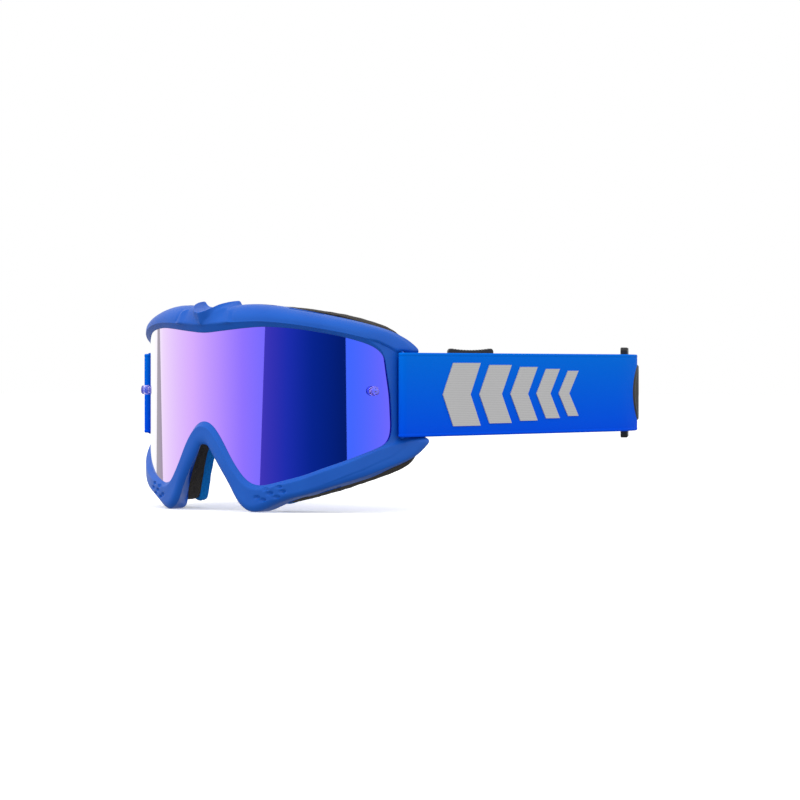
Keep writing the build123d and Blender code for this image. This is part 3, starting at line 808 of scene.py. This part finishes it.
def band(name, path, material, body, thickness=STRAP_THICKNESS):
    """A strap that stands on edge along a plan path, with rounded edges and a raised selvage."""
    path = np.array(path)
    ahead = np.vstack([path[1:], 2 * path[-1] - path[-2]])
    behind = np.vstack([2 * path[0] - path[1], path[:-1]])
    tangent = ahead - behind
    tangent /= np.linalg.norm(tangent, axis=1)[:, None]
    out = np.column_stack([tangent[:, 1], -tangent[:, 0]])
    half = thickness / 2
    groove = 0.16
    profile = []
    for side in (1, -1):
        edge = []
        for turn in np.linspace(0, pi / 2, 5):
            edge.append((side * half * sin(turn), HALF_STRAP - half * (1 - cos(turn))))
        for inset, down in ((0, 1.35), (groove, 1.6), (groove * 0.6, 2.0)):
            edge.append((side * (half - inset), HALF_STRAP - down))
        levels = np.linspace(HALF_STRAP - 3, -HALF_STRAP + 3, 15)
        flat = [(side * (half - groove * 0.4), level) for level in levels]
        run = edge + flat + [(a, -b) for a, b in reversed(edge)]
        profile += run[::side]
    count = len(profile)
    points = []
    for centre, direction in zip(path, out):
        for offset, height in profile:
            x, y = centre + direction * offset
            points.append((x, y, height))
    faces = grid_faces(len(path), count, close_columns=True)
    faces += [tuple(range(count)), tuple(range(len(points) - 1, len(points) - count - 1, -1))]
    return new_object(name, place(points), faces, material, body)


def mirrored_path(path):
    return [np.array([-x, y]) for x, y in reversed(path)]


left_side = side_path()
middle_radius = LOOP_RADIUS - STRAP_THICKNESS / 2
bend = [round_bend(middle_radius, turn) for turn in np.linspace(TOE_IN, pi - TOE_IN, 120)]
whole_path = left_side + bend + mirrored_path(left_side)
strap_band = band("strap_band", whole_path, STRAP_BLUE, "goggles")
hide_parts("strap_left", "strap_right", "strap_rear")

LEG_OUTER = LOOP_RADIUS - STRAP_THICKNESS - LAYER_GAP
LEG_MIDDLE = LEG_OUTER - STRAP_THICKNESS / 2
LOOP_REACH = 11.5  # degrees round the bend from the adjuster's middle to the tail's start
TAIL_START = radians(ADJUSTER_ANGLE - LOOP_REACH)
TAIL_END = radians(ADJUSTER_ANGLE + 1.5)

for side, name in ((1, "left"), (-1, "right")):
    turns = np.linspace(TOE_IN + 0.002, TAIL_START - 0.007, 30)
    path = [round_bend(LEG_MIDDLE, turn) * (side, 1) for turn in turns]
    if side < 0:
        path.reverse()
    leg = band(f"return_leg_band_{name}", path, STRAP_BLUE, None)
    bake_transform(leg)
    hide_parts(f"return_leg_{name}")


# ---- Sewn loops: the strap's end round the adjuster's middle bar, sewn back on itself ----
ADJUSTER_RADIUS = 69.4
LOOP_HALF_X = 3.15 + STRAP_THICKNESS / 2
LOOP_HALF_Y = 2.15 + STRAP_THICKNESS / 2
LOOP_CORNER = 1.6


def loop_path(side):
    """The tail along the strap, then once round the adjuster's middle bar."""
    turn = radians(ADJUSTER_ANGLE)
    centre = round_bend(ADJUSTER_RADIUS, turn)
    out = np.array([cos(turn), sin(turn)])
    back = np.array([-sin(turn), cos(turn)])
    tail_radius = LEG_OUTER - LAYER_GAP - STRAP_THICKNESS / 2
    path = [round_bend(tail_radius, t) for t in np.linspace(TAIL_START, TAIL_END - 0.035, 24)]
    quarter = [(sin(t), cos(t)) for t in np.linspace(0, pi / 2, 6)]
    corners = [(1, 1, False), (1, -1, True), (-1, -1, False), (-1, 1, True)]
    for along_sign, out_sign, flip in corners:
        arc = list(reversed(quarter)) if flip else quarter
        for s, c in arc:
            along = along_sign * (LOOP_HALF_X - LOOP_CORNER + LOOP_CORNER * s)
            away = out_sign * (LOOP_HALF_Y - LOOP_CORNER + LOOP_CORNER * c)
            path.append(centre + back * along + out * away)
    path = [p * (side, 1) for p in path]
    return path if side > 0 else list(reversed(path))


for side, name in ((1, "left"), (-1, "right")):
    path = loop_path(side)
    loop = band(f"sewn_loop_band_{name}", path, STRAP_BLUE, f"adjuster_{name}", thickness=1.4)
    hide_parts(f"sewn_loop_{name}")


# ---- Rubber patches: a ribbed oval on each side of the bend ----
def build_patch(side, name):
    """A low dome of rubber with upright ribs, wrapped round the strap."""
    half_along, half_up, thick, rib_pitch, rib_depth = 20.0, 15.5, 0.78, 1.6, 0.3
    columns, rows = (np.sin(np.linspace(-pi / 2, pi / 2, count)) for count in (241, 41))
    points = []
    for share_along in columns:
        along = half_along * share_along
        top = half_up * sqrt(max(1 - share_along**2, 0.0))
        for share_up in rows:
            up = top * share_up
            reach = hypot(share_along, up / half_up)
            height = thick * (1 - smooth_step(reach, 0.93, 1.0)) - 0.12 * smooth_step(reach, 0.98, 1.0)
            rib = 0.5 + 0.5 * cos(2 * pi * along / rib_pitch)
            height -= rib_depth * rib * (1 - smooth_step(reach, 0.84, 0.9))
            x, y = round_bend(LOOP_RADIUS + height, radians(PATCH_ANGLE) + along / LOOP_RADIUS)
            points.append((side * x, y, up))
    faces = grid_faces(len(columns), len(rows))
    piece = new_object(f"patch_pad_{name}", place(points), faces, PATCH_RUBBER)
    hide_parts(f"patch_{name}")


for side, name in ((1, "left"), (-1, "right")):
    build_patch(side, name)


# ---- Strap bars: a round bar whose thin ends turn into the arms ----
def tube(name, path, radii, material):
    """A round rod along a path of x, y, z, with a radius at each point of it."""
    path = np.array(path, float)
    steps = 20
    points = []
    for k, centre in enumerate(path):
        run = path[min(k + 1, len(path) - 1)] - path[max(k - 1, 0)]
        run /= np.linalg.norm(run)
        across = np.cross(run, (0.3, 1.0, 0.0))
        across /= np.linalg.norm(across)
        up = np.cross(run, across)
        for turn in np.linspace(0, 2 * pi, steps, endpoint=False):
            points.append(centre + radii[k] * (across * cos(turn) + up * sin(turn)))
    faces = grid_faces(len(path), steps, close_columns=True)
    faces += [tuple(range(steps)), tuple(range(len(points) - 1, len(points) - steps - 1, -1))]
    return new_object(name, place(points), faces, material)


def bend_smoothly(points, rounds=3):
    """The same open path with its corners cut, a few times over."""
    points = np.array(points, float)
    for _ in range(rounds):
        first = points[:-1] * 0.75 + points[1:] * 0.25
        second = points[:-1] * 0.25 + points[1:] * 0.75
        between = np.column_stack([first, second]).reshape(-1, points.shape[1])
        points = np.vstack([points[:1], between, points[-1:]])
    return points


BAR_END_RADIUS = 0.35
for side, name in ((1, "left"), (-1, "right")):
    corners = [  # x, y, z and the bar's radius there
        (side * (BAR_X - 4.6), BAR_Y + 3.4, -21.5, BAR_END_RADIUS),
        (side * BAR_X, BAR_Y, -21.3, BAR_END_RADIUS), (side * BAR_X, BAR_Y, -20, BAR_RADIUS),
    ]
    corners += [(x, y, -z, r) for x, y, z, r in reversed(corners)]
    rod = bend_smoothly(corners)
    bar = tube(f"strap_rod_{name}", rod[:, :3], rod[:, 3], FRAME_BLUE)
    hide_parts(f"strap_bar_{name}")

# ---- CAD pieces that keep their shape ----
KEPT = {
    "tearoff_post_left": POST_CLEAR, "tearoff_post_right": POST_CLEAR,
    "adjuster_left": ADJUSTER_BLACK, "adjuster_right": ADJUSTER_BLACK,
    "strap_print_left": PRINT_GREY, "strap_print_right": PRINT_GREY,
}
for node, material in KEPT.items():
    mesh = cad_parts[node].data
    mesh.materials.clear()
    mesh.materials.append(material)

# ---- Floor, light and camera ----
FLOOR_DROP_M = 0.0004
FLOOR_REACH_M = 6
floor_corners = [(x * FLOOR_REACH_M, y * FLOOR_REACH_M, -FLOOR_DROP_M)
                 for x, y in ((-1, -1), (1, -1), (1, 1), (-1, 1))]
floor_mesh = bpy.data.meshes.new("floor")
floor_mesh.from_pydata(floor_corners, [], [(0, 1, 2, 3)])
floor = bpy.data.objects.new("floor", floor_mesh)
bpy.context.scene.collection.objects.link(floor)
floor_paint = Nodes("floor_pale")
pale = [(0.3, (0.93, 0.93, 0.93, 1)), (0.7, (0.95, 0.95, 0.95, 1))]
floor_paint.set("Base Color", floor_paint.ramp(floor_paint.noise(2, 2), pale))
floor_paint.set("Roughness", 0.9)
floor_paint.set("Emission Color", (1, 1, 1, 1))
floor_paint.set("Emission Strength", 0.3)
floor_mesh.materials.append(floor_paint.material)
floor.visible_glossy = False
floor.visible_diffuse = False

VIEW_TURN = radians(41.36)  # round from straight in front, towards the left strap
VIEW_DISTANCE = 1617.3
VIEW_OFFSET = -98.41  # sideways, from the middle of the goggles
VIEW_HEIGHT = 12.2
LENS_LENGTH = 144.7335
camera_data = bpy.data.cameras.new("camera")
camera = bpy.data.objects.new("camera", camera_data)
bpy.context.scene.collection.objects.link(camera)
camera_x = -VIEW_OFFSET * cos(VIEW_TURN) + VIEW_DISTANCE * sin(VIEW_TURN)
camera_y = -VIEW_OFFSET * sin(VIEW_TURN) - VIEW_DISTANCE * cos(VIEW_TURN)
camera.location = place([[camera_x, camera_y, VIEW_HEIGHT]])[0]
camera.rotation_euler = (pi / 2, 0, VIEW_TURN)
camera_data.sensor_width = 36
camera_data.lens = LENS_LENGTH
camera_data.shift_y = -0.037
camera_data.clip_end = 30
bpy.context.scene.camera = camera

# The studio is white all round and darkens below the floor's level.
world = bpy.data.worlds.new("studio")
bpy.context.scene.world = world
world.use_nodes = True
sky = world.node_tree.nodes["Background"]
sky.inputs["Color"].default_value = (1, 1, 1, 1)
direction = world.node_tree.nodes.new("ShaderNodeTexCoord")
split = world.node_tree.nodes.new("ShaderNodeSeparateXYZ")
shade = world.node_tree.nodes.new("ShaderNodeMapRange")
world.node_tree.links.new(direction.outputs["Generated"], split.inputs[0])
world.node_tree.links.new(split.outputs["Z"], shade.inputs["Value"])
for limit, value in (("From Min", -0.6), ("From Max", -0.08), ("To Min", 0.3), ("To Max", 1.0)):
    shade.inputs[limit].default_value = value
world.node_tree.links.new(shade.outputs["Result"], sky.inputs["Strength"])


def glow_paint(name, shades):
    """Even light whose colour runs through the shades along a piece's own "share"."""
    paint = bpy.data.materials.new(name)
    paint.use_nodes = True
    tree = paint.node_tree
    tree.nodes.clear()
    glow = tree.nodes.new("ShaderNodeEmission")
    result = tree.nodes.new("ShaderNodeOutputMaterial")
    tree.links.new(glow.outputs[0], result.inputs["Surface"])
    ramp = tree.nodes.new("ShaderNodeValToRGB")
    position = tree.nodes.new("ShaderNodeAttribute")
    position.attribute_name = "share"
    tree.links.new(position.outputs["Fac"], ramp.inputs[0])
    tree.links.new(ramp.outputs["Color"], glow.inputs["Color"])
    while len(ramp.color_ramp.elements) < len(shades):
        ramp.color_ramp.elements.new(0.5)
    for element, (where, shade) in zip(ramp.color_ramp.elements, shades):
        element.position = where
        element.color = (*shade, 1)
    return paint


def card(name, radius, start, end, heights, leans, shades):
    """A card that only reflections show: upright, curved round the lens, far out, with leaning edges."""
    turns = np.linspace(radians(start), radians(end), 65)
    points = []
    for share, turn in zip(np.linspace(0, 1, len(turns)), turns):
        for z, way in zip(heights, (-1, 1)):
            leant = turn + way * radians(leans[0] * (1 - share) - leans[1] * share)
            points.append((radius * sin(leant), LENS_RADIUS - radius * cos(leant), z))
    piece = new_object(name, place(points), grid_faces(len(turns), 2), glow_paint(name, shades), None)
    share = piece.data.attributes.new("share", "FLOAT", "POINT")
    share.data.foreach_set("value", np.repeat(np.linspace(0, 1, len(turns)), 2).astype(np.float32))
    piece.visible_camera = piece.visible_diffuse = piece.visible_shadow = False


DARK_BLUES = [
    (0.0, (0.25, 0.24, 0.48)), (0.3, (0.11, 0.19, 0.42)), (0.6, (0.045, 0.13, 0.27)),
    (1.0, (0.02, 0.085, 0.15)),
]
GREY = (0.42, 0.42, 0.42)
card("dark_card", 2400, 0.0, 51.0, (-900, 900), (16.0, 5.0), DARK_BLUES)
card("grey_card", 2400, -101.4, -93.6, (-400, 400), (5.0, 12.0), [(0.0, GREY), (1.0, GREY)])


def soft_light(name, where, aim, size, power):
    lamp = bpy.data.lights.new(name, "AREA")
    lamp.energy = power
    lamp.size = size
    holder = bpy.data.objects.new(name, lamp)
    bpy.context.scene.collection.objects.link(holder)
    holder.location = where
    holder.rotation_euler = (Vector(aim) - Vector(where)).to_track_quat("-Z", "Y").to_euler()
    holder.visible_glossy = False


soft_light("key", (-0.7, -1.0, 1.3), (0, 0, 0.06), 0.7, 9)
soft_light("fill", (1.2, -0.9, 0.9), (0, 0, 0.06), 0.9, 4)

bpy.context.scene.view_settings.view_transform = "Standard"
